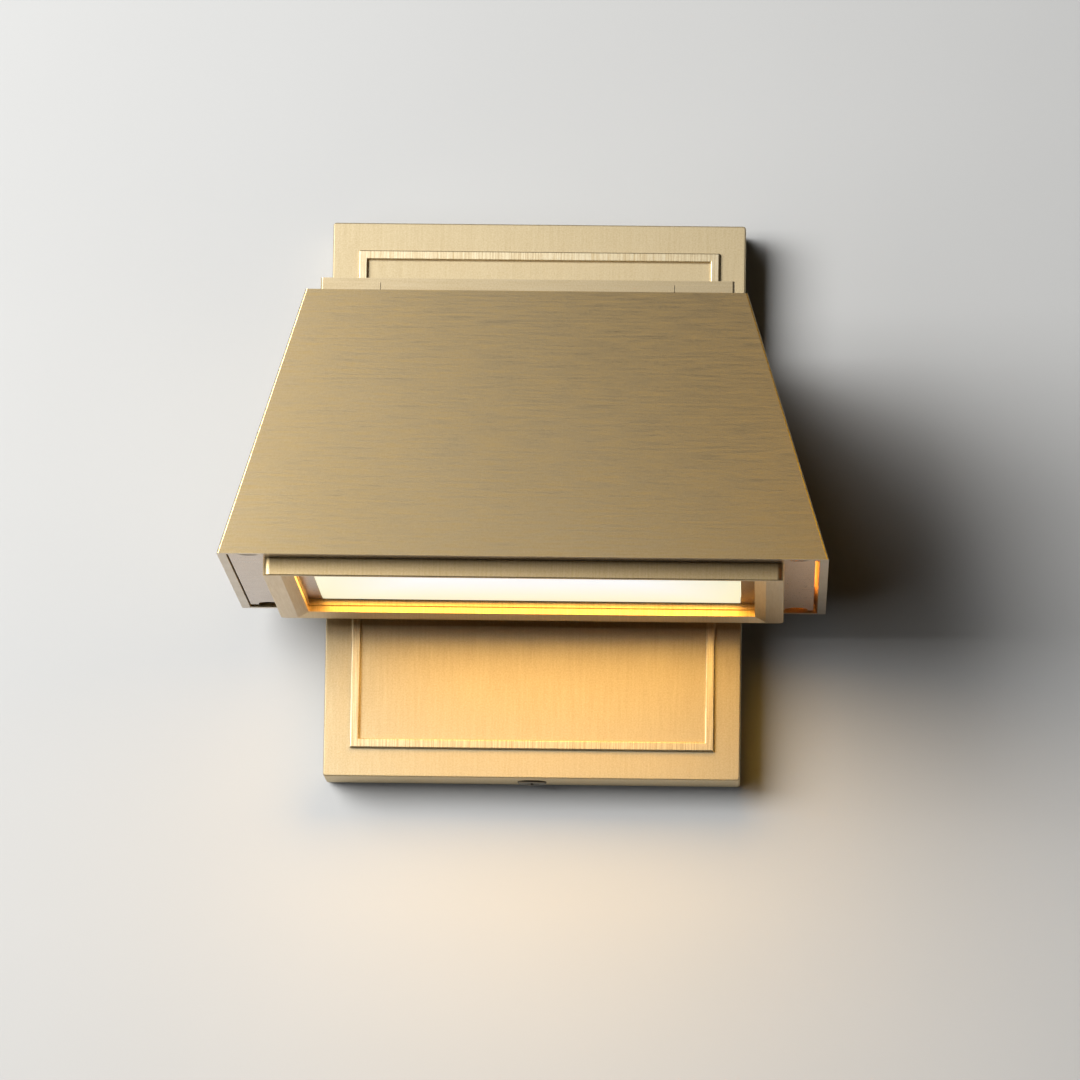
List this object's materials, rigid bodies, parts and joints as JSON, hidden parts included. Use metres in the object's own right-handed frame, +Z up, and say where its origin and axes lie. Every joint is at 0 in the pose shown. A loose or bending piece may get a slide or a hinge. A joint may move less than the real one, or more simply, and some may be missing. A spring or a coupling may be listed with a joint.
{
  "type": "outdoor wall sconce",
  "caption": "Downlight wall sconce: a flared brushed hood with a bevelled lens frame below, on a shallow rectangular wall plate with a raised trim ring.",
  "frame": {"origin": "middle of the wall plate's footprint, on the wall", "axes": "+X to the right seen from the room, +Y into the wall, +Z up"},
  "size_m": [0.1614, 0.1207, 0.156],
  "materials": {
    "plate_brass": "satin brass, fine upright brush lines",
    "ring_brass": "satin brass, brushed across the bars",
    "hood_brass": "satin brass, long level brush lines",
    "bezel_brass": "satin brass",
    "housing_brass": "satin brass",
    "panel_metal": "fine satin",
    "raw_aluminium": "extruded",
    "zinc_steel": "zinc plated",
    "screw_steel": "dull plated",
    "ground_green": "green passivated",
    "black_rubber": "matt",
    "white_silicone": "matt",
    "opal_lens": "frosted, lit from above",
    "white_plastic": "matt white",
    "board_white": "white solder mask",
    "led_phosphor": "phosphor window",
    "driver_case": "moulded"
  },
  "bodies": {
    "root": {"wall_plate": "plate_brass", "plate_trim_ring": "ring_brass", "wall_gasket": "black_rubber", "mounting_bar": "zinc_steel", "canopy_screw": "screw_steel", "ground_screw": "ground_green", "neck_gasket": "black_rubber", "wire_bushing": "black_rubber", "body_bolts": "zinc_steel", "body_nuts": "zinc_steel", "hood": "hood_brass", "bottom_panel": "panel_metal", "bezel": "bezel_brass", "bezel_screws": "zinc_steel", "diffuser_lens": "opal_lens", "lens_gasket": "white_silicone", "reflector": "white_plastic", "led_board": "board_white", "led_chips": "led_phosphor", "board_screws": "zinc_steel", "heat_sink": "raw_aluminium", "driver_housing": "housing_brass", "housing_cover": "housing_brass", "housing_screws": "zinc_steel", "led_driver": "driver_case", "driver_screws": "zinc_steel"}
  },
  "joints": []
}
